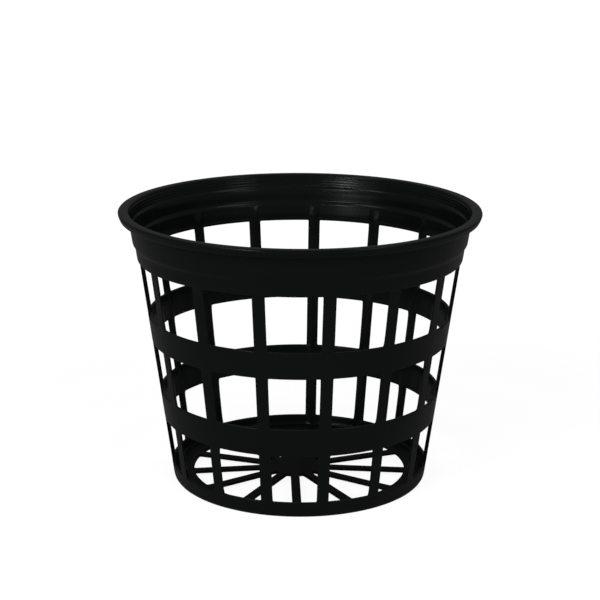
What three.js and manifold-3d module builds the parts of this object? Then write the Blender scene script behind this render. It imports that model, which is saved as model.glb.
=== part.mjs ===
// Net pot for growing plants in water: a small tapered basket moulded in black polypropylene.
// Millimetres, +Z up. The origin is on the pot's axis at the underside, and the photographed front faces -Y.
//
// The real pot is one moulding. It is built here from the members of that moulding, each a closed solid.
// They meet face to face on level planes: a rim, a collar, two bands, a base ring and a floor grille,
// with three tiers of upright ribs between them.

import * as THREE from 'three';
import { mergeVertices } from 'three/addons/utils/BufferGeometryUtils.js';
import Module from 'manifold-3d';

const wasm = await Module();
wasm.setup();

// Overall form
const rimDiameter = 70;
const rimOverhang = 2.2; // how far the flange stands out past the collar
const wallTaper = 0.14; // the radius that the wall gains for each unit of height
const wallThickness = 0.55;

// Heights, stacked from the underside up
const footRingHeight = 0.65; // the foot ring lifts the grille this far off the surface
const floorThickness = 0.65;
const baseRingHeight = 1.9;
const lowerWindowHeight = 9.6;
const lowerBandHeight = 5.4;
const middleWindowHeight = 10.2;
const upperBandHeight = 5.2;
const upperWindowHeight = 10.9;
const lowerCollarHeight = 2.3;
const collarShoulderHeight = 1.1;
const upperCollarHeight = 3.2;
const rimHeight = 2.8;

// Ribs. They stand unevenly, at these angles in degrees from the front towards +X
const ribAngles = [
  10.0, 33.6, 57.2, 82.8, 108.5, 126.1, 150.1, 174.5, 197.9, 222.3, 245.5, 272.2, 299.0, 323.4, 346.2,
];
const ribWidthAtBase = 2.25;
const ribWidthAtCollar = 2.42;
const ribDepth = 0.7; // from the outside of the wall to the crown of the rib
const ribSideDepth = 0.1; // from the outside of the wall to where the crown begins

// Collar
const collarLedge = 0.33; // how far the lower collar stands out from the line of the ribs
const collarShoulder = 0.42; // how much further the upper collar stands out, above its shoulder
const collarThickness = 0.75;
const collarEdgeRound = 0.3;
const innerLedgeRise = 0.3; // the inner shoulder lies this much above the outer one

// Rim
const rimFlangeThickness = 1.6;
const rimLipWidth = 2.05; // across the flat top, from the outer edge in to the mouth
const rimEdgeLean = 0.45; // how far the outer face leans in, down to the underside
const rimEdgeRound = 0.45;
const rimMouthRound = 0.3;
const rimInnerLedge = 0.25;

// Floor
const spokeCount = 13;
const spokePhase = 1.5; // degrees from the front, towards +X
const spokeWidth = 1.75;
const hubRadius = 5.25;
const hubShift = -0.95; // along X, from the pot's axis to where the spokes meet
const floorBorder = 3.9; // from the outside of the base to the floor's windows
const floorEdgeRound = 0.7;
const footRingDraft = 0.3; // how far the inside of the foot ring leans out towards the surface
const footRingBorder = 3.4; // from the outside of the base to the inside of the foot ring

// Smoothness of the facets
const baySegments = 4;
const rimSegments = 96;
const arcSteps = 4;
const hubSegments = 40;
const weldDistance = 1e-5;

const plastic = { color: 0x17181a, roughness: 0.42, metalness: 0 };

// Levels worked out from the stack of heights
const floorTop = footRingHeight + floorThickness;
const baseRingTop = floorTop + baseRingHeight;
const lowerBandBottom = baseRingTop + lowerWindowHeight;
const lowerBandTop = lowerBandBottom + lowerBandHeight;
const upperBandBottom = lowerBandTop + middleWindowHeight;
const upperBandTop = upperBandBottom + upperBandHeight;
const collarBottom = upperBandTop + upperWindowHeight;
const shoulderBottom = collarBottom + lowerCollarHeight;
const shoulderTop = shoulderBottom + collarShoulderHeight;
const collarTop = shoulderTop + upperCollarHeight;
const rimTop = collarTop + rimHeight;

// Radii worked out inwards from the rim
const collarTopRadius = rimDiameter / 2 - rimOverhang;
const baseRadius = collarTopRadius - collarShoulder - collarLedge - wallTaper * collarTop;
const floorWindowRadius = baseRadius - floorBorder;
const footRingRadius = baseRadius - footRingBorder;

// The outside of the conical wall at a height
function wallRadius(z) {
  return baseRadius + wallTaper * z;
}

function ribAngle(index) {
  return THREE.MathUtils.degToRad(ribAngles[index]);
}

function ribHalfAngle(z) {
  const width = THREE.MathUtils.mapLinear(z, 0, collarBottom, ribWidthAtBase, ribWidthAtCollar);
  return width / 2 / wallRadius(z);
}

// Stations across half a rib, as shares of its half width, and the rib's depth at each
const crownStations = [-1, -0.7, -0.3, 0.3, 0.7, 1];
const cornerStation = 1.08;

function crownDepth(station) {
  return ribSideDepth + (ribDepth - ribSideDepth) * (1 - station * station);
}

// One column of a ring: its angle at a height and, on a rib, the depth of the crown there
function ringColumns() {
  const columns = [];
  for (let rib = 0; rib < ribAngles.length; rib += 1) {
    const here = ribAngle(rib);
    const turn = rib + 1 < ribAngles.length ? 0 : 2 * Math.PI;
    const next = ribAngle((rib + 1) % ribAngles.length) + turn;
    for (const station of crownStations) {
      columns.push({ angle: (z) => here + station * ribHalfAngle(z), depth: crownDepth(station) });
    }
    for (let step = 0; step <= baySegments; step += 1) {
      const share = step / baySegments;
      columns.push({
        depth: 0,
        angle: (z) => {
          const margin = cornerStation * ribHalfAngle(z);
          return THREE.MathUtils.lerp(here + margin, next - margin, share);
        },
      });
    }
  }
  return columns;
}

const columns = ringColumns();

// A point of the pot, from an angle measured round from the front
function onPot(angle, radius, z) {
  return [radius * Math.sin(angle), -radius * Math.cos(angle), z];
}

function closedGeometry(points, triangles) {
  const geometry = new THREE.BufferGeometry();
  geometry.setAttribute('position', new THREE.Float32BufferAttribute(points.flat(), 3));
  geometry.setIndex(triangles.flat());
  geometry.computeVertexNormals();
  return geometry;
}

// A ring whose section can differ from column to column, closed on itself
function ringGeometry(sectionAt) {
  const sections = columns.map((column) => sectionAt(column));
  const count = sections[0].length;
  const points = [];
  const triangles = [];
  sections.forEach((section, index) => {
    const next = (index + 1) % sections.length;
    section.forEach(([radius, z], corner) => {
      points.push(onPot(columns[index].angle(z), radius, z));
      const a = index * count + corner;
      const b = index * count + ((corner + 1) % count);
      const c = next * count + ((corner + 1) % count);
      const d = next * count + corner;
      triangles.push([a, d, c], [a, c, b]);
    });
  });
  return closedGeometry(points, triangles);
}

// A level band of the wall, thickened inwards where the ribs cross it
function bandGeometry(bottom, top) {
  return ringGeometry((column) => {
    const depth = Math.max(wallThickness, column.depth);
    return [
      [wallRadius(bottom), bottom],
      [wallRadius(top), top],
      [wallRadius(top) - depth, top],
      [wallRadius(bottom) - depth, bottom],
    ];
  });
}

// The collar: a thicker wall with a shoulder above the rib heads, inside and outside
function collarOuter(z) {
  const share = THREE.MathUtils.clamp((z - shoulderBottom) / collarShoulderHeight, 0, 1);
  return wallRadius(z) + collarLedge + share * collarShoulder;
}

function collarInner(z) {
  return collarOuter(z - innerLedgeRise) - collarThickness;
}

function collarGeometry() {
  const edgeTop = collarBottom + collarEdgeRound;
  const ledgeBottom = shoulderBottom + innerLedgeRise;
  const ledgeTop = shoulderTop + innerLedgeRise;
  return ringGeometry((column) => {
    const crown = (z) => Math.min(collarInner(z), wallRadius(z) - column.depth);
    return [
      [collarOuter(collarBottom) - collarEdgeRound, collarBottom],
      [collarOuter(edgeTop), edgeTop],
      [collarOuter(shoulderBottom), shoulderBottom],
      [collarOuter(shoulderTop), shoulderTop],
      [collarOuter(collarTop), collarTop],
      [collarInner(collarTop), collarTop],
      [collarInner(ledgeTop), ledgeTop],
      [collarInner(ledgeBottom), ledgeBottom],
      [crown(ledgeBottom), ledgeBottom - collarEdgeRound],
      [crown(collarBottom), collarBottom],
    ];
  });
}

// A quarter of a circle in a lathe profile, its angles in degrees from straight out
function quarterRound(centreRadius, centreLevel, round, fromTurn) {
  const arc = [];
  for (let step = 0; step <= arcSteps; step += 1) {
    const turn = THREE.MathUtils.degToRad(fromTurn + (90 * step) / arcSteps);
    arc.push(new THREE.Vector2(
      centreRadius + round * Math.cos(turn),
      centreLevel + round * Math.sin(turn),
    ));
  }
  return arc;
}

// The rim: a flange turned outwards, flat on top and underneath, with rounded edges
function rimGeometry() {
  const outer = rimDiameter / 2;
  const mouthTop = outer - rimLipWidth;
  const foot = collarOuter(collarTop);
  const mouth = collarInner(collarTop);
  const underside = rimTop - rimFlangeThickness;
  const profile = [
    new THREE.Vector2(foot, collarTop),
    new THREE.Vector2(foot, underside),
    new THREE.Vector2(outer - rimEdgeLean, underside),
    ...quarterRound(outer - rimEdgeRound, rimTop - rimEdgeRound, rimEdgeRound, 0),
    ...quarterRound(mouthTop + rimMouthRound, rimTop - rimMouthRound, rimMouthRound, 90),
    new THREE.Vector2(mouth + rimInnerLedge, collarTop + rimInnerLedge),
    new THREE.Vector2(mouth, collarTop),
  ];
  profile.push(profile[0].clone());
  const geometry = new THREE.LatheGeometry(profile, rimSegments);
  geometry.rotateX(Math.PI / 2);
  return geometry;
}

// One stretch of rib between two levels, standing at the front and turned to its place by its mesh
function ribGeometry(bottom, top) {
  const points = [];
  const triangles = [];
  const width = crownStations.length;
  [bottom, top].forEach((z) => {
    const outside = wallRadius(z);
    crownStations.forEach((station) => {
      points.push(onPot(station * ribHalfAngle(z), outside, z));
    });
    crownStations.forEach((station) => {
      points.push(onPot(station * ribHalfAngle(z), outside - crownDepth(station), z));
    });
  });
  const outline = [];
  for (let i = 0; i < width; i += 1) {
    outline.push(i);
  }
  for (let i = width - 1; i >= 0; i -= 1) {
    outline.push(width + i);
  }
  const upper = 2 * width;
  outline.forEach((a, i) => {
    const b = outline[(i + 1) % outline.length];
    triangles.push([a, b, b + upper], [a, b + upper, a + upper]);
  });
  for (let i = 0; i + 1 < width; i += 1) {
    const a = i;
    const b = i + 1;
    const c = width + i + 1;
    const d = width + i;
    triangles.push([a, c, b], [a, d, c]);
    triangles.push([a + upper, b + upper, c + upper], [a + upper, c + upper, d + upper]);
  }
  return closedGeometry(points, triangles);
}

// Solids for the cuts in the floor
function toSolid(geometry) {
  const bare = geometry.clone();
  bare.deleteAttribute('normal');
  bare.deleteAttribute('uv');
  const merged = mergeVertices(bare, weldDistance);
  return new wasm.Manifold(new wasm.Mesh({
    numProp: 3,
    vertProperties: merged.attributes.position.array,
    triVerts: new Uint32Array(merged.index.array),
  }));
}

function fromSolid(solid) {
  const mesh = solid.getMesh();
  const geometry = new THREE.BufferGeometry();
  geometry.setAttribute('position', new THREE.BufferAttribute(mesh.vertProperties, 3));
  geometry.setIndex(new THREE.BufferAttribute(mesh.triVerts, 1));
  geometry.computeVertexNormals();
  return geometry;
}

// What is cut out of the floor: a disc, less the hub and the spokes
function floorOpening() {
  const height = 2 * floorTop;
  const disc = new THREE.CylinderGeometry(floorWindowRadius, floorWindowRadius, height, rimSegments);
  disc.rotateX(Math.PI / 2);
  const keptHeight = 2 * height;
  const hub = new THREE.CylinderGeometry(hubRadius, hubRadius, keptHeight, hubSegments);
  hub.rotateX(Math.PI / 2);
  hub.translate(hubShift, 0, 0);
  let opening = toSolid(disc).subtract(toSolid(hub));
  const reach = floorWindowRadius + floorBorder;
  for (let index = 0; index < spokeCount; index += 1) {
    const spoke = new THREE.BoxGeometry(spokeWidth, reach, keptHeight);
    spoke.translate(0, -reach / 2, 0);
    spoke.rotateZ(THREE.MathUtils.degToRad(spokePhase + (360 / spokeCount) * index));
    spoke.translate(hubShift, 0, 0);
    opening = opening.subtract(toSolid(spoke));
  }
  return opening;
}

// The floor: a plate on a foot ring, with a round lower edge, open between its spokes
function floorGeometry() {
  const profile = [
    new THREE.Vector2(0, footRingHeight),
    new THREE.Vector2(footRingRadius, footRingHeight),
    new THREE.Vector2(footRingRadius + footRingDraft, 0),
  ];
  const edgeCentre = wallRadius(floorEdgeRound) - floorEdgeRound;
  profile.push(...quarterRound(edgeCentre, floorEdgeRound, floorEdgeRound, -90));
  profile.push(new THREE.Vector2(wallRadius(floorTop), floorTop));
  profile.push(new THREE.Vector2(0, floorTop));
  const plate = new THREE.LatheGeometry(profile, rimSegments);
  plate.rotateX(Math.PI / 2);
  return fromSolid(toSolid(plate).subtract(floorOpening()));
}

const pot = new THREE.Group();

function addMember(name, geometry, turn = 0) {
  const mesh = new THREE.Mesh(geometry, new THREE.MeshStandardMaterial(plastic));
  mesh.name = name;
  mesh.rotation.z = turn;
  pot.add(mesh);
}

function addRibTier(name, bottom, top) {
  const geometry = ribGeometry(bottom, top);
  for (let rib = 0; rib < ribAngles.length; rib += 1) {
    const number = String(rib + 1).padStart(2, '0');
    addMember(`${name}_${number}`, geometry, ribAngle(rib));
  }
}

addMember('floor_grille', floorGeometry());
addMember('base_ring', bandGeometry(floorTop, baseRingTop));
addRibTier('lower_rib', baseRingTop, lowerBandBottom);
addMember('lower_band', bandGeometry(lowerBandBottom, lowerBandTop));
addRibTier('middle_rib', lowerBandTop, upperBandBottom);
addMember('upper_band', bandGeometry(upperBandBottom, upperBandTop));
addRibTier('upper_rib', upperBandTop, collarBottom);
addMember('collar', collarGeometry());
addMember('rim', rimGeometry());

export default pot;
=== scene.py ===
# %% [markdown]
# # A net pot in black moulded plastic
# A net pot is a small basket that holds a plant over water. The real one is a single moulding: plastic is
# pressed into a steel mould, and rim, collar, ribs, bands and floor come out as one piece. It could be drawn
# face by face, but most of it is one short stretch of wall, repeated round a cone. This lesson draws that
# stretch once, lets Geometry Nodes lay it round, and keeps to the sizes of a CAD model of the same pot.
# %% Load the fixed frame
import math

import bmesh
import bpy
from mathutils import Matrix, Vector


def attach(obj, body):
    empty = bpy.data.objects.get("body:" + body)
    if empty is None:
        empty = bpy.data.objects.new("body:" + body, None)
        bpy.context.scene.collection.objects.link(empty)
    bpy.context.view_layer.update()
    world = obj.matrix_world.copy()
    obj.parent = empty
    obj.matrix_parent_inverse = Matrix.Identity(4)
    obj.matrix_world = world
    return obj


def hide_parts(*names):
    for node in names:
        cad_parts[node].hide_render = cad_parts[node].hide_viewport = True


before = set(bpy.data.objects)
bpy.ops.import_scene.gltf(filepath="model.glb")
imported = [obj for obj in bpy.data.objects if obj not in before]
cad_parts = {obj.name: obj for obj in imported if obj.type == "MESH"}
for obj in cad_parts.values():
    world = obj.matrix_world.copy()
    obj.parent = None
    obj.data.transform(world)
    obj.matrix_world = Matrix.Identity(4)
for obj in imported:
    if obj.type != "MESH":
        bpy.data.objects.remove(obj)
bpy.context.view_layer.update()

MM = 0.001
scene = bpy.context.scene


def in_mm(lengths):
    return [round(length / MM, 2) for length in lengths]


# %% [markdown]
# ## Writing node trees as sums
# A material and a Geometry Nodes tree are both nets of nodes. Each node could be made and linked by hand, but
# that takes many lines and hides what the net works out. A small class therefore wraps a node's output, so
# that an expression such as `1 - mask` adds its own Math node. One method makes every other kind of node. It
# sets the node's own choices before its inputs, because a choice can change which inputs there are.
# %% Sums that make nodes
class Value:
    """The output of a node, on which sums can be written."""

    def __init__(self, net, socket):
        self.net = net
        self.socket = socket

    def __add__(self, other):
        return self.net.maths("ADD", self, other)

    def __sub__(self, other):
        return self.net.maths("SUBTRACT", self, other)

    def __rsub__(self, other):
        return self.net.maths("SUBTRACT", other, self)

    def __mul__(self, other):
        return self.net.maths("MULTIPLY", self, other)

    def __truediv__(self, other):
        return self.net.maths("DIVIDE", self, other)

    __radd__ = __add__
    __rmul__ = __mul__


# %% One method that makes any node
class Net:
    """A node tree that starts empty, and the method that makes nodes in it."""

    def __init__(self, tree):
        self.tree = tree
        self.tree.nodes.clear()

    def make(self, kind, settings=None, inputs=None, output=0):
        node = self.tree.nodes.new(kind)
        for name, setting in (settings or {}).items():
            if name == "stops":
                for stop, (place, colour) in zip(node.color_ramp.elements, setting):
                    stop.position = place
                    stop.color = colour
            else:
                setattr(node, name, setting)
        for name, term in (inputs or {}).items():
            if isinstance(term, Value):
                self.tree.links.new(term.socket, node.inputs[name])
            else:
                node.inputs[name].default_value = term
        return Value(self, node.outputs[output]) if node.outputs else None

    def maths(self, operation, *terms):
        return self.make("ShaderNodeMath", {"operation": operation}, dict(enumerate(terms)))

    def parts(self, vector):
        """The x, y and z of a vector."""
        split = self.make("ShaderNodeSeparateXYZ", inputs={"Vector": vector})
        return [Value(self, socket) for socket in split.socket.node.outputs]


# %% [markdown]
# ## The cone
# The wall of the real pot is a cone that widens as it rises, so that it slides off its mould. Its points
# could be kept as x, y and z, but such numbers say little to a reader. Here a point is a height, and how far
# it stands out from the cone's face, in millimetres. A wall of even thickness is then one number all the way.
# %% The cone
BASE_RADIUS = 24.896
TAPER = 0.14


def off_cone(radius, z):
    """How far out a radius lies from the cone's face at a height."""
    return radius - BASE_RADIUS - TAPER * z


print("cone's radius at heights 0 and 50:", BASE_RADIUS, BASE_RADIUS + TAPER * 50)

# %% [markdown]
# ## The finish
# The pot is black plastic, coloured all through. Off the mould it is satin: smooth enough to catch a soft
# light along an edge. One flat black would look like a hole in the picture. Pictures of plastic could be laid
# on instead, but they blur close up and need unwrapping, so the finish is worked out from each point's place.
# Its colour and roughness wander a little, as where plastic cools at different speeds, and a very fine grain
# breaks up the reflections. Inside the rim are faint level rings, as a turned mould leaves them. They are a
# sine of the height, kept to the inside of the rim by asking how far a point lies from the cone.
# %% Patches and rings
RING_SPACING = 0.54
RINGS_FROM = 51.7
RINGS_REACH = 0.65
RING_WAVER = 2.0
WAVER_SCALE = 60.0


def patches(net, place, scale, detail):
    """Soft random patches, about 1 / scale metres across."""
    return net.make("ShaderNodeTexNoise", inputs={"Vector": place, "Scale": scale, "Detail": detail})


def turned_rings(net, place):
    """Heights of level rings, from -1 to 1, above RINGS_FROM and less than RINGS_REACH out from the cone."""
    x, y, z = net.parts(place)
    limit = (BASE_RADIUS + RINGS_REACH) * MM + TAPER * z
    inside = net.maths("LESS_THAN", x * x + y * y, limit * limit)
    high = net.maths("GREATER_THAN", z, RINGS_FROM * MM)
    waver = patches(net, place, WAVER_SCALE, detail=1.0)
    wave = z * (2 * math.pi / (RING_SPACING * MM)) + waver * RING_WAVER
    return net.maths("SINE", wave) * inside * high


print("one ring every", RING_SPACING, "mm, from a height of", RINGS_FROM)

# %% [markdown]
# ## Two blacks
# The wall shines a little, and the floor's part of the mould was left duller. Two separate materials could be
# built by hand, but they would drift apart at the first change. One function makes both, and only the
# roughness and the depth of the colour differ. The floor's colour is scaled to half: that darker black is
# painted shade, for the floor lies low inside the pot. Bump carries the grain, the patches and the rings,
# because they are finer than the faces of the mesh: together they are about two hundredths of a millimetre
# high.
# %% Black moulded plastic
BUMP_HEIGHT = 0.02
GRAIN_SHARE = 0.08
FLOW_SHARE = 0.5
RING_SHARE = 0.4
GRAIN_SCALE = 2600.0
FLOW_SCALE = 55.0
ROUGHNESS_SPREAD = 0.1
# each black, after the level of the patches at which it is reached
BLACKS = [(0.3, (0.0019, 0.0027, 0.0024)), (0.7, (0.0027, 0.0035, 0.0032))]
PLASTIC_IOR = 1.49
SPECULAR_LEVEL = 0.4
VIEWPORT_LEVEL = 0.02


def grey(level):
    return (level, level, level, 1.0)


def black_plastic(name, roughness, depth):
    """The pot's plastic, with the least roughness it has, and how deep its colour is against the wall's; a
    depth below 1 is painted shade.
    """
    material = bpy.data.materials.new(name)
    material.use_nodes = True
    net = Net(material.node_tree)
    place = net.make("ShaderNodeTexCoord", output="Object")
    flow = patches(net, place, FLOW_SCALE, detail=3.0)
    grain = patches(net, place, GRAIN_SCALE, detail=2.0)
    stops = [(level, [part * depth for part in black] + [1.0]) for level, black in BLACKS]
    colour = net.make("ShaderNodeValToRGB", {"stops": stops}, {"Fac": flow})
    height = grain * GRAIN_SHARE + flow * FLOW_SHARE + turned_rings(net, place) * RING_SHARE
    bump = net.make("ShaderNodeBump", inputs={
        "Strength": 1.0,
        "Distance": BUMP_HEIGHT * MM,
        "Height": height,
    })
    surface = net.make("ShaderNodeBsdfPrincipled", inputs={
        "Base Color": colour,
        "Roughness": roughness + flow * ROUGHNESS_SPREAD,
        "IOR": PLASTIC_IOR,
        "Specular IOR Level": SPECULAR_LEVEL,
        "Normal": bump,
    })
    net.make("ShaderNodeOutputMaterial", inputs={"Surface": surface})
    material.diffuse_color = grey(VIEWPORT_LEVEL)
    print(name, "has", len(material.node_tree.nodes), "nodes")
    return material


SATIN = black_plastic("black_satin_plastic", roughness=0.15, depth=1.0)
# the floor's colour at half depth is painted shade: it is the same plastic as the wall
DULL_SHADED_PLASTIC = black_plastic("black_dull_plastic_painted_shade", roughness=0.45, depth=0.5)

# %% [markdown]
# ## Drawing flat, by name
# Wall and floor are both a thin plate with windows in it. A plate could be cut out of a solid with Boolean
# modifiers, but forty-five cuts in a thin wall leave ragged faces. So each plate is drawn as a grid, and a
# window is a place where no faces are made. A point is asked for by its depth, row and column, so faces that
# meet share it, and none is made that no face needs. A strip closes the plate's thickness along an edge.
# %% A flat drawing
class Drawing:
    """A flat plate in the making, with the numbers that each point carries besides its place."""

    def __init__(self, place_of, depths, labels):
        self.place_of = place_of
        self.depths = depths
        self.labels = labels
        self.points = []
        self.faces = []
        self.numbers = {}

    def face(self, names):
        for name in names:
            if name not in self.numbers:
                self.numbers[name] = len(self.points)
                self.points.append(self.place_of(*name))
        self.faces.append([self.numbers[name] for name in names])

    def cell(self, depth, row, column, turned):
        """The face between four neighbouring points, turned to face the other way where that is asked."""
        corners = [(row, column), (row, column + 1), (row + 1, column + 1), (row + 1, column)]
        names = [(depth, *corner) for corner in corners]
        self.face(names[::-1] if turned else names)

    def strip(self, start, end):
        """The faces through the thickness, between two neighbouring points of an edge."""
        for near, far in zip(self.depths, self.depths[1:]):
            self.face([(near, *start), (far, *start), (far, *end), (near, *end)])

    def mesh(self, title):
        mesh = bpy.data.meshes.new(title)
        mesh.from_pydata([point[:3] for point in self.points], [], self.faces)
        for index, label in enumerate(self.labels, 3):
            layer = mesh.attributes.new(label, "FLOAT", "POINT")
            layer.data.foreach_set("value", [point[index] for point in self.points])
        print(title, "has", len(self.points), "points and", len(self.faces), "faces")
        return mesh


# %% [markdown]
# ## The ribs
# Fifteen upright ribs carry the wall. Each is flat outside and rounded inside, and a little wider at the top.
# They could be fifteen bars pushed through the bands, but a real rib grows out of the wall with no joint. So
# one bay of wall is drawn, a rib with half a window on each side, and its columns of points are packed close
# at the rib. Smoothing the mesh will draw a rounded crown in a little, so the rib is drawn slightly deeper
# than the CAD model's 0.7 mm.
# %% Columns across a bay
RIB_SIDE = 0.15
RIB_CROWN = 0.8
# each column is (share of the way to the next rib, distance from the rib's middle in half rib widths)
RIB_COLUMNS = [(0.0, side) for side in (-1.0, -0.84, -0.45, 0.0, 0.45, 0.84, 1.0)]
WINDOW_COLUMNS = [(0.0, 1.2), (0.17, 0.8), (0.34, 0.4), (0.5, 0.0)]
COLUMNS = [(-share, -side) for share, side in reversed(WINDOW_COLUMNS)] + RIB_COLUMNS + WINDOW_COLUMNS
FIRST_RIB = len(WINDOW_COLUMNS)
LAST_RIB = FIRST_RIB + len(RIB_COLUMNS) - 1


def rib_depth(column):
    """How deep the rib is on a column, or 0 beside the rib."""
    share, side = COLUMNS[column]
    if share != 0.0 or abs(side) > 1.0:
        return 0.0
    return RIB_SIDE + (RIB_CROWN - RIB_SIDE) * (1 - side * side)


print("rib depths:", [round(rib_depth(column), 2) for column in range(len(COLUMNS))])

# %% [markdown]
# ## The bands and the windows
# Two level bands tie the ribs together, and leave three tiers of windows. The rows of points up the wall
# could be evenly spaced, but then smoothing would round the windows' corners off. An extra row close to each
# edge holds it, so the corners stay as crisp as on the real pot. Windows and bands take turns up the wall.
# %% Rows up the wall
BASE_TOP = 3.2
LOWER_BAND = (12.8, 18.2)
UPPER_BAND = (28.4, 33.6)
COLLAR_BOTTOM = 44.5
WINDOW_MARGIN = 0.28
BAND_MARGIN = 0.24

WALL_EDGES = [BASE_TOP, *LOWER_BAND, *UPPER_BAND, COLLAR_BOTTOM]
WALL_ROWS = [BASE_TOP]
WINDOW_ROWS = []
for number, (bottom, top) in enumerate(zip(WALL_EDGES, WALL_EDGES[1:])):
    is_window = number % 2 == 0
    margin = WINDOW_MARGIN if is_window else BAND_MARGIN
    first_row = len(WALL_ROWS) - 1
    WALL_ROWS += [bottom + margin, (bottom + top) / 2, top - margin, top]
    if is_window:
        WINDOW_ROWS.append((first_row, len(WALL_ROWS) - 1))
print("rows up the wall:", [round(z, 1) for z in WALL_ROWS])
print("rows at the bottom and top of each tier of windows:", WINDOW_ROWS)

# %% [markdown]
# ## The foot, the collar and the rim
# Below the windows the wall ends in a ring that the pot stands on. Above them a solid collar steps out and
# carries the rim, which holds the pot in its hole. All three are the same all the way round. They could be
# spun as shapes of their own and joined on, but then the ribs would meet them in a seam. Instead they are
# more rows of the same bay: the outside is read upwards, over the rim, and the inside is read upwards too.
# %% Profile of the foot, as (height, distance out from the cone)
WALL = 0.55
FOOT_OUTSIDE = [
    (1.0, -3.36), (0.5, -3.32), (0.12, -3.2), (0.0, -3.0), (0.0, -1.3), (0.0, -0.85),
    (0.06, -0.5), (0.26, -0.2), (0.6, -0.03), (0.95, 0.0), (2.0, 0.0), (2.95, 0.0),
]
FOOT_INSIDE = [FOOT_OUTSIDE[0], (1.0, -2.2), (1.0, -1.35), (1.12, -WALL), (2.0, -WALL), (2.95, -WALL)]
ON_THE_GROUND = [out for z, out in FOOT_OUTSIDE if z == 0.0]
print("the foot stands on a ring", round(max(ON_THE_GROUND) - min(ON_THE_GROUND), 2), "mm wide")

# %% Profile of the collar, as (height, distance out from the cone)
COLLAR_OUTSIDE = [
    (44.51, 0.22), (44.62, 0.315), (44.9, 0.335), (46.7, 0.345), (47.1, 0.37),
    (47.4, 0.48), (47.75, 0.69), (48.0, 0.75), (49.8, 0.755),
]
COLLAR_EDGE_INSIDE = -0.22
COLLAR_INSIDE = [
    (44.6, -0.42), (44.85, -0.53), (46.0, -0.53), (46.9, -0.46), (47.3, -0.43), (47.7, -0.42), (47.9, -0.39),
    (48.05, -0.32), (48.36, -0.12), (48.5, -0.06), (48.75, -0.04), (49.3, -0.04), (50.2, -0.04),
]
print("points up the collar, outside and inside:", len(COLLAR_OUTSIDE), len(COLLAR_INSIDE))

# %% Profile of the rim, as (height, radius)
RIM_RADIUS = 35.0
RIM_TOP = 53.9
RIM = [
    # out along the level underside, and up the outer face, which leans out as it rises
    (51.7, 32.88), (52.15, 32.91), (52.29, 33.05), (52.3, 33.5), (52.3, 34.2), (52.33, 34.48),
    (52.5, 34.65), (52.95, 34.83), (53.35, 34.98), (53.6, RIM_RADIUS), (53.82, 34.9),
    # the flat top and the rounded mouth
    (RIM_TOP, 34.65), (RIM_TOP, 34.2), (RIM_TOP, 33.6), (53.88, 33.26), (53.79, 33.08), (53.62, 32.98),
    # down the inside: a fine step, a long slope and a narrow ledge
    (53.45, 32.95), (53.3, 32.92), (53.18, 32.83), (53.05, 32.79), (52.3, 32.62), (51.68, 32.48),
    (51.47, 32.42), (51.37, 32.36), (51.13, 32.17), (51.01, 32.1), (50.7, 32.03),
]
print("the rim is", 2 * RIM_RADIUS, "mm across, and its top is at", RIM_TOP)

# %% [markdown]
# ## One bay of wall
# On the real pot a rib stands a little proud of the bands inside, runs on through them, and dies away under
# the collar's ledge. The rib could be a second mesh laid over the wall, but two surfaces that nearly touch
# flicker in a render. Here a point of the inside takes whichever is deeper, the wall or the rib, and at the
# rib's head it slides back to the wall.
# %% Where a point of the bay lies
RIB_HEAD = 47.9
RIB_HEAD_FADE = 1.8
OUTSIDE = FOOT_OUTSIDE + [(z, 0.0) for z in WALL_ROWS] + COLLAR_OUTSIDE
OUTSIDE += [(z, off_cone(radius, z)) for z, radius in RIM]
INSIDE = FOOT_INSIDE + [(z, -WALL) for z in WALL_ROWS[:-1]]
INSIDE += [(COLLAR_BOTTOM, COLLAR_EDGE_INSIDE)] + COLLAR_INSIDE + [OUTSIDE[-1]]


def inside_point(row, column):
    """Height and distance out of a point of the inside. Row 0 is the first row that both sides share."""
    z, plain = INSIDE[len(FOOT_INSIDE) + row]
    rib = -rib_depth(column)
    if any(low < row < high for low, high in WINDOW_ROWS):
        return z, rib
    share = min(max((RIB_HEAD - z) / RIB_HEAD_FADE, 0.0), 1.0)
    return z, plain + (min(plain, rib) - plain) * share


def bay_place(depth, row, column):
    """A point of the bay: depth 0 is the outside, 1 the inside, and a share of it lies in a window's edge."""
    share, side = COLUMNS[column]
    if depth == 0.0:
        z, out = OUTSIDE[len(FOOT_OUTSIDE) + row]
    else:
        z, inside = inside_point(row, column)
        out = inside * depth
    return share, out * MM, z * MM, side


print("rows outside:", len(OUTSIDE), "rows inside:", len(INSIDE))

# %% The flat bay
BAY_DEPTHS = (0.0, 0.22, 0.78, 1.0)


def flat_bay():
    drawing = Drawing(bay_place, BAY_DEPTHS, ["side"])
    columns = range(len(COLUMNS) - 1)
    beside_rib = [column for column in columns if not FIRST_RIB <= column < LAST_RIB]
    for depth, rows, foot in ((0.0, OUTSIDE, FOOT_OUTSIDE), (1.0, INSIDE, FOOT_INSIDE)):
        for column in columns:
            for row in range(-len(foot), len(rows) - len(foot) - 1):
                in_tier = any(low <= row < high for low, high in WINDOW_ROWS)
                if not (in_tier and column in beside_rib):
                    drawing.cell(depth, row, column, turned=depth == 1.0)
    for low, high in WINDOW_ROWS:
        for column in beside_rib:
            drawing.strip((low, column + 1), (low, column))
            drawing.strip((high, column), (high, column + 1))
        for row in range(low, high):
            drawing.strip((row + 1, FIRST_RIB), (row, FIRST_RIB))
            drawing.strip((row, LAST_RIB), (row + 1, LAST_RIB))
    return drawing.mesh("flat_bay")


BAY = flat_bay()

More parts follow.
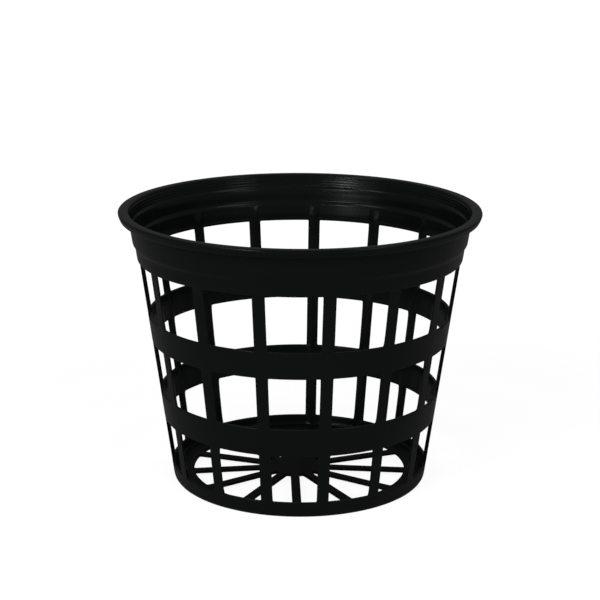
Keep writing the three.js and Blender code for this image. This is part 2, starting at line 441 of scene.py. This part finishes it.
# %% [markdown]
# ## Laying copies round the pot
# Wall and floor both repeat. An Array modifier could repeat them, but only at even steps, and on this pot the
# steps between the ribs are uneven. Geometry Nodes can copy a flat shape to a set of marks, and each mark
# carries its own angle. The tree moves each point to its place, joins the copies where they meet, and smooths
# them. Both trees need the same start and the same end, so these are made once here. The result is kept as a
# plain mesh and measured, because a hole or a face that looks inwards is easy to miss by eye.
# %% The start of a tree
def new_tree(name, sizes):
    """A tree that takes marks, a shape to copy to them and named sizes, and gives back a mesh."""
    tree = bpy.data.node_groups.new(name, "GeometryNodeTree")
    tree.interface.new_socket("Geometry", in_out="INPUT", socket_type="NodeSocketGeometry")
    tree.interface.new_socket("Shape", in_out="INPUT", socket_type="NodeSocketObject")
    tree.interface.new_socket("Geometry", in_out="OUTPUT", socket_type="NodeSocketGeometry")
    for label in sizes:
        tree.interface.new_socket(label, in_out="INPUT", socket_type="NodeSocketFloat")
    net = Net(tree)
    given = tree.nodes.new("NodeGroupInput")
    return net, {socket.name: Value(net, socket) for socket in given.outputs if socket.name}


def copies_on_marks(net, given):
    """A copy of the shape on each mark, as real points, and their place on the flat shape."""
    shape = net.make("GeometryNodeObjectInfo", inputs={"Object": given["Shape"]}, output="Geometry")
    copies = net.make("GeometryNodeInstanceOnPoints", inputs={"Points": given["Geometry"], "Instance": shape})
    real = net.make("GeometryNodeRealizeInstances", inputs={"Geometry": copies})
    return real, net.parts(net.make("GeometryNodeInputPosition"))


def carried(net, name):
    """A number that each point carries."""
    return net.make("GeometryNodeInputNamedAttribute", {"data_type": "FLOAT"}, {"Name": name})


# %% The end of a tree
JOIN_WITHIN = 0.002
SMOOTHING = 1


def finished(net, copies, place, material):
    """Moves the points to their place, joins and smooths the mesh, and gives it its material."""
    position = net.make("ShaderNodeCombineXYZ", inputs=dict(zip("XYZ", place)))
    moved = net.make("GeometryNodeSetPosition", inputs={"Geometry": copies, "Position": position})
    within = JOIN_WITHIN * MM
    joined = net.make("GeometryNodeMergeByDistance", inputs={"Geometry": moved, "Distance": within})
    smooth = net.make("GeometryNodeSubdivisionSurface", inputs={"Mesh": joined, "Level": SMOOTHING})
    shaded = net.make("GeometryNodeSetShadeSmooth", inputs={0: smooth})
    real = net.make("GeometryNodeRealizeInstances", inputs={"Geometry": shaded})
    painted = net.make("GeometryNodeSetMaterial", inputs={"Geometry": real, "Material": material})
    net.make("NodeGroupOutput", inputs={0: painted})
    print(net.tree.name, "tree has", len(net.tree.nodes), "nodes")


# %% Marks, and running a tree on them
def marks_at(name, angles):
    """Points for a tree to copy a shape to, which carry angles given in degrees."""
    marks = bpy.data.meshes.new(name)
    marks.from_pydata([(0, 0, 0)] * len(angles["here"]), [], [])
    for label, degrees in angles.items():
        layer = marks.attributes.new(label, "FLOAT", "POINT")
        layer.data.foreach_set("value", [math.radians(angle) for angle in degrees])
    return marks


def grown(name, marks, shape, tree, sizes):
    """Runs a tree on the marks with one copied shape, and keeps the result as a plain mesh object."""
    pattern = bpy.data.objects.new(name + "_pattern", shape)
    seed = bpy.data.objects.new(name + "_seed", marks)
    for helper in (pattern, seed):
        scene.collection.objects.link(helper)
    modifier = seed.modifiers.new("grow", "NODES")
    modifier.node_group = tree
    values = dict(sizes, Shape=pattern)
    for item in tree.interface.items_tree:
        if item.in_out == "INPUT" and item.name in values:
            modifier[item.identifier] = values[item.name]
    evaluated = seed.evaluated_get(bpy.context.evaluated_depsgraph_get())
    plain = bpy.data.meshes.new_from_object(evaluated)
    for helper in (seed, pattern):
        bpy.data.objects.remove(helper)
    plain.name = name
    piece = bpy.data.objects.new(name, plain)
    scene.collection.objects.link(piece)
    return piece


# %% Measuring a piece
def measured(piece):
    """Prints a piece's size and volume, and counts what should be absent.

    An open edge has a hole beside it. At a disagreeing edge, two faces differ on which way is out.
    """
    bpy.context.view_layer.update()
    form = bmesh.new()
    form.from_mesh(piece.data)
    open_edges = sum(1 for edge in form.edges if len(edge.link_faces) != 2)
    disagreeing = sum(1 for edge in form.edges if not edge.is_contiguous)
    loose = sum(1 for point in form.verts if not point.link_faces)
    triangles = sum(len(face.verts) - 2 for face in form.faces)
    volume = form.calc_volume(signed=True) / MM ** 3
    form.free()
    print(piece.name, "size mm", in_mm(piece.dimensions), "volume mm3", round(volume, 1))
    print("open edges", open_edges, "disagreeing edges", disagreeing, "loose points", loose)
    print("triangles", triangles)


# %% [markdown]
# ## The basket
# The rim, collar, ribs, bands and foot are one moulding, so they are one mesh. The bays could be placed first
# and bent afterwards with a Simple Deform modifier, but that can't follow a taper and uneven steps at once.
# The tree bends each point itself. A mark carries its rib's angle and the steps to the ribs on either side,
# and each column takes its share of the step, so neighbouring bays meet point for point.
# %% The marks for the ribs, in degrees from the front towards +X
RIB_ANGLES = [
    10.0, 33.6, 57.2, 82.8, 108.5, 126.1, 150.1, 174.5,
    197.9, 222.3, 245.5, 272.2, 299.0, 323.4, 346.2,
]
RIB_COUNT = len(RIB_ANGLES)
AHEAD = [(RIB_ANGLES[(i + 1) % RIB_COUNT] - RIB_ANGLES[i]) % 360 for i in range(RIB_COUNT)]
BEHIND = [AHEAD[i - 1] for i in range(RIB_COUNT)]
RIB_MARKS = marks_at("rib_marks", {"here": RIB_ANGLES, "ahead": AHEAD, "behind": BEHIND})
print("ribs:", RIB_COUNT, "steps from", round(min(AHEAD), 1), "to", round(max(AHEAD), 1), "degrees")

# %% The tree that makes the basket
RIB_HALF_AT_BASE = 1.125
RIB_HALF_AT_COLLAR = 1.21
BASKET_SIZES = {
    "Base Radius": BASE_RADIUS * MM,
    "Taper": TAPER,
    "Rib Half Width": RIB_HALF_AT_BASE * MM,
    "Rib Half Growth": (RIB_HALF_AT_COLLAR - RIB_HALF_AT_BASE) / COLLAR_BOTTOM,
}


def basket_tree():
    net, given = new_tree("basket", BASKET_SIZES)
    bays, (share, out, height) = copies_on_marks(net, given)
    step = carried(net, "ahead") * net.maths("MAXIMUM", share, 0.0)
    step = step + carried(net, "behind") * net.maths("MINIMUM", share, 0.0)
    cone = given["Base Radius"] + given["Taper"] * height
    half_angle = (given["Rib Half Width"] + given["Rib Half Growth"] * height) / cone
    angle = carried(net, "here") + step + carried(net, "side") * half_angle
    radius = cone + out
    across = radius * net.maths("SINE", angle)
    deep = 0.0 - radius * net.maths("COSINE", angle)
    finished(net, bays, (across, deep, height), SATIN)
    return net.tree


BASKET = grown("moulded_basket", RIB_MARKS, BAY, basket_tree(), BASKET_SIZES)
measured(BASKET)

# %% [markdown]
# ## The floor
# The floor is a wheel: a hub, thirteen spokes and a border that runs into the wall. It could be cut from a
# disc, but it repeats like the wall, so one sector with one spoke is drawn and laid round. Its rows run out
# from the centre and its columns lie side by side, and near the centre the columns simply share the sector.
# %% Rows and columns of a sector
HUB_CORE = 4.0
HUB_RADIUS = 5.25
WINDOW_RADIUS = 20.996
BORDER_RADIUS = 24.75
FLOOR_TOP = 1.3
FLOOR_BOTTOM = 0.65
SECTOR_ROWS = [0.0, 2.2, HUB_CORE, 4.85, HUB_RADIUS, 5.75, 10.0, 15.5, 20.4]
SECTOR_ROWS += [WINDOW_RADIUS, 21.45, 23.0, BORDER_RADIUS]
SPOKE_COLUMNS = [(0.0, side) for side in (-1.0, -0.68, 0.0, 0.68, 1.0)]
GAP_COLUMNS = [(0.5 * part, 1 - part) for part in (0.2, 0.6, 1.0)]
SECTOR_COLUMNS = [(-share, -side) for share, side in reversed(GAP_COLUMNS)] + SPOKE_COLUMNS + GAP_COLUMNS
print("rows:", len(SECTOR_ROWS), "columns:", len(SECTOR_COLUMNS))

# %% The flat sector
SECTOR_DEPTHS = (0.0, 0.25, 0.75, 1.0)


def sector_place(depth, row, column):
    """A point of the sector: depth 0 is the floor's top, 1 its underside."""
    share, side = SECTOR_COLUMNS[column]
    radius = SECTOR_ROWS[row]
    if radius <= HUB_CORE:
        share, side = column / (len(SECTOR_COLUMNS) - 1) - 0.5, 0.0
    about_hub = min(max((WINDOW_RADIUS - radius) / (WINDOW_RADIUS - HUB_RADIUS), 0.0), 1.0)
    z = FLOOR_TOP + (FLOOR_BOTTOM - FLOOR_TOP) * depth
    return share, radius * MM, z * MM, side, about_hub


def flat_sector():
    drawing = Drawing(sector_place, SECTOR_DEPTHS, ["side", "about_hub"])
    first = len(GAP_COLUMNS)
    last = first + len(SPOKE_COLUMNS) - 1
    hub = SECTOR_ROWS.index(HUB_RADIUS)
    window = SECTOR_ROWS.index(WINDOW_RADIUS)
    border = SECTOR_ROWS.index(BORDER_RADIUS)
    for column in range(len(SECTOR_COLUMNS) - 1):
        in_spoke = first <= column < last
        for row in range(border):
            if in_spoke or not hub <= row < window:
                drawing.cell(0.0, row, column, turned=True)
                drawing.cell(1.0, row, column, turned=False)
        if not in_spoke:
            drawing.strip((hub, column), (hub, column + 1))
            drawing.strip((window, column + 1), (window, column))
        drawing.strip((border, column), (border, column + 1))
    for row in range(hub, window):
        drawing.strip((row, first), (row + 1, first))
        drawing.strip((row + 1, last), (row, last))
    return drawing.mesh("flat_sector")


SECTOR = flat_sector()

# %% [markdown]
# ## Spokes that meet beside the axis
# On the real floor the spokes meet about a millimetre to one side of the pot's axis, while the border stays
# centred on it. The whole floor could be moved over, but then it would break through the wall. So a point
# near the hub is laid out from the hub and a point of the border from the axis. For a spoke between them the
# tree works out how far along it a circle about the axis lies, the same sum as where a ray leaves a circle.
# %% The tree that makes the floor
SPOKE_HALF = 0.875
HUB_SHIFT = -0.95
FLOOR_SIZES = {"Spoke Half Width": SPOKE_HALF * MM, "Hub Shift": HUB_SHIFT * MM}
SPOKE_COUNT = 13
FIRST_SPOKE = 1.5
SPOKE_ANGLES = [FIRST_SPOKE + 360 * i / SPOKE_COUNT for i in range(SPOKE_COUNT)]


def floor_tree():
    net, given = new_tree("spoked_floor", FLOOR_SIZES)
    sectors, (share, radius, height) = copies_on_marks(net, given)
    angle = carried(net, "here") + share * (2 * math.pi / SPOKE_COUNT)
    sine = net.maths("SINE", angle)
    cosine = net.maths("COSINE", angle)
    aside = carried(net, "side") * given["Spoke Half Width"]
    shift = given["Hub Shift"]
    off_centre = (1.0 - carried(net, "about_hub")) * shift
    forward = off_centre * sine
    start = aside * aside + off_centre * off_centre + 2.0 * aside * off_centre * cosine
    inside = forward * forward - start + radius * radius
    reach = net.maths("SQRT", net.maths("MAXIMUM", inside, 0.0)) - forward
    across = shift + reach * sine + aside * cosine
    deep = aside * sine - reach * cosine
    finished(net, sectors, (across, deep, height), DULL_SHADED_PLASTIC)
    return net.tree


SPOKE_MARKS = marks_at("spoke_marks", {"here": SPOKE_ANGLES})
FLOOR = grown("spoked_floor", SPOKE_MARKS, SECTOR, floor_tree(), FLOOR_SIZES)
measured(FLOOR)

# %% [markdown]
# ## Riding on the frame
# The real pot has no moving part. The CAD model's solids could each get a material and stay, but their edges
# are sharp, and they meet in seams that the moulding doesn't have. So the basket stands for the rim, collar,
# bands, base ring and ribs, the floor stands for the grille, and both ride on the pot's one body.
# %% Pieces on the frame
for piece in (BASKET, FLOOR):
    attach(piece, "root")
WALL_NODES = [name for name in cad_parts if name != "floor_grille"]
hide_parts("floor_grille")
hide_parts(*WALL_NODES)
print("CAD solids that the basket stands for:", len(WALL_NODES))

# %% [markdown]
# ## The studio floor
# The pot stands on a plain pale floor that meets a white background. A white floor under strong lamps would
# do that too, but it would throw light up at the pot and wash out its black. Instead the floor is dark to the
# light and adds its own white for the camera alone, so it keeps a soft shadow. Near the pot the lamps lighten
# it too, so its own white is a little less there, and grows to full within half a metre.
# %% Pale floor
FLOOR_REACH = 3.0
FLOOR_MATT = 0.115
WHITE_NEAR = 0.922
FADE_FROM = 0.08
FADE_LENGTH = 0.4


def studio_white():
    material = bpy.data.materials.new("studio_white")
    material.use_nodes = True
    net = Net(material.node_tree)
    seen = net.make("ShaderNodeLightPath", output="Is Camera Ray")
    place = net.make("ShaderNodeTexCoord", output="Object")
    distance = net.make("ShaderNodeVectorMath", {"operation": "LENGTH"}, {0: place}, output="Value")
    far = (distance - FADE_FROM) / FADE_LENGTH
    matt = net.make("ShaderNodeBsdfDiffuse", inputs={"Color": grey(FLOOR_MATT)})
    stops = [(0.0, grey(WHITE_NEAR)), (1.0, grey(1.0))]
    white = net.make("ShaderNodeValToRGB", {"stops": stops}, {"Fac": far})
    glow = net.make("ShaderNodeEmission", inputs={"Color": white, "Strength": 1.0})
    both = net.make("ShaderNodeAddShader", inputs={0: matt, 1: glow})
    shown = net.make("ShaderNodeMixShader", inputs={"Fac": seen, 1: matt, 2: both})
    net.make("ShaderNodeOutputMaterial", inputs={"Surface": shown})
    return material


def pale_floor():
    sheet = bpy.data.meshes.new("studio_floor")
    corners = [(x * FLOOR_REACH, y * FLOOR_REACH, 0.0) for x, y in ((-1, -1), (1, -1), (1, 1), (-1, 1))]
    sheet.from_pydata(corners, [], [(0, 1, 2, 3)])
    sheet.materials.append(studio_white())
    floor = bpy.data.objects.new("studio_floor", sheet)
    scene.collection.objects.link(floor)
    return floor


pale_floor()
print("studio floor:", 2 * FLOOR_REACH, "m square")

# %% [markdown]
# ## Soft light
# Black plastic shows little of its own colour. What the eye reads is its reflections, so the light and the
# reflections are set apart. Two large soft boxes light the pot from both sides of the camera, and are hidden
# from reflections. Small weak lamps, which are seen in reflections, draw the bright lines inside the back of
# the rim: the low ones show in its steep wall, and the strips, which stand higher, in its sloped ledges. Two
# more stand high at the sides. One strong lamp could do both jobs, but its reflection would burn out. The
# world is white to the camera and dim to the pot.
# %% The world
WORLD_LEVEL = 0.08


def studio_world():
    world = bpy.data.worlds.new("studio")
    world.use_nodes = True
    net = Net(world.node_tree)
    seen = net.make("ShaderNodeLightPath", output="Is Camera Ray")
    strength = WORLD_LEVEL + seen * (1.0 - WORLD_LEVEL)
    light = net.make("ShaderNodeBackground", inputs={"Color": grey(1.0), "Strength": strength})
    net.make("ShaderNodeOutputWorld", inputs={"Surface": light})
    return world


scene.world = studio_world()
print("world:", scene.world.name, "at", WORLD_LEVEL, "on the pot")

# %% The lamps
# name, azimuth from the front towards +X and elevation in degrees, distance, width and height in metres,
# watts, and whether it is seen in reflections
LAMPS = [
    ("left_soft_box", -40, 34, 0.9, 0.5, 0.5, 6.6, False),
    ("right_soft_box", 42, 34, 0.9, 0.5, 0.5, 4.5, False),
    ("left_strip", -34, 27, 0.9, 0.2, 0.1, 0.32, True),
    ("left_wide_strip", -35, 26, 0.92, 0.42, 0.11, 0.12, True),
    ("left_glow", -37, 8, 0.9, 0.26, 0.14, 0.05, True),
    ("left_wide_glow", -39, 8, 0.92, 0.64, 0.14, 0.07, True),
    ("left_high_box", -75, 60, 0.9, 0.3, 0.3, 0.25, True),
    ("right_strip", 44, 26, 0.9, 0.3, 0.12, 0.1, True),
    ("right_high_box", 75, 60, 0.9, 0.3, 0.3, 0.2, True),
]
LAMP_AIM = Vector((0.0, 0.0, 0.03))


def add_lamp(name, azimuth, elevation, distance, width, height, watts, mirrored):
    """A lamp that faces the middle of the pot. One that is seen in reflections is an ellipse."""
    lamp = bpy.data.lights.new(name, "AREA")
    lamp.shape = "ELLIPSE" if mirrored else "RECTANGLE"
    lamp.size = width
    lamp.size_y = height
    lamp.energy = watts
    holder = bpy.data.objects.new(name, lamp)
    scene.collection.objects.link(holder)
    holder.visible_glossy = mirrored
    a, e = math.radians(azimuth), math.radians(elevation)
    way = Vector((math.sin(a) * math.cos(e), -math.cos(a) * math.cos(e), math.sin(e)))
    holder.location = LAMP_AIM + way * distance
    holder.rotation_euler = way.to_track_quat("Z", "Y").to_euler()


for lamp_line in LAMPS:
    add_lamp(*lamp_line)
print("lamps:", len(LAMPS), "hidden from reflections:", sum(1 for line in LAMPS if not line[-1]))

# %% [markdown]
# ## The camera
# The camera stands where the photograph was taken from. It could be placed by eye, but a pot seen from a
# little too high has a rounder rim, and that shows at once. Its place, lens and small tilt were therefore
# worked out from the pot's own outline, so the picture can be laid over the photograph.
# %% Camera
# its place in metres, then in degrees how far it looks down, how far to the right, and its roll
CAMERA_PLACE = (0.0, -0.328254, 0.125683)
CAMERA_TURNS = (15.366, 0.007, 0.209)
PICTURE_WIDTH = 600
FOCAL_PIXELS = 1742.845
SENSOR_WIDTH = 36.0


def photograph_camera():
    data = bpy.data.cameras.new("camera")
    data.sensor_width = SENSOR_WIDTH
    data.lens = FOCAL_PIXELS / PICTURE_WIDTH * SENSOR_WIDTH
    data.clip_start = 0.01
    data.clip_end = 20.0
    camera = bpy.data.objects.new("camera", data)
    scene.collection.objects.link(camera)
    pitch, yaw, roll = (math.radians(turn) for turn in CAMERA_TURNS)
    forward = Vector((math.sin(yaw) * math.cos(pitch), math.cos(yaw) * math.cos(pitch), -math.sin(pitch)))
    level = Vector((math.cos(yaw), -math.sin(yaw), 0))
    upright = level.cross(forward)
    right = level * math.cos(roll) + upright * math.sin(roll)
    up = upright * math.cos(roll) - level * math.sin(roll)
    turned = Matrix((right, up, -forward)).transposed().to_4x4()
    camera.matrix_world = Matrix.Translation(CAMERA_PLACE) @ turned
    return camera


scene.camera = photograph_camera()
scene.view_settings.view_transform = "Standard"
print("lens:", round(scene.camera.data.lens, 1), "mm")
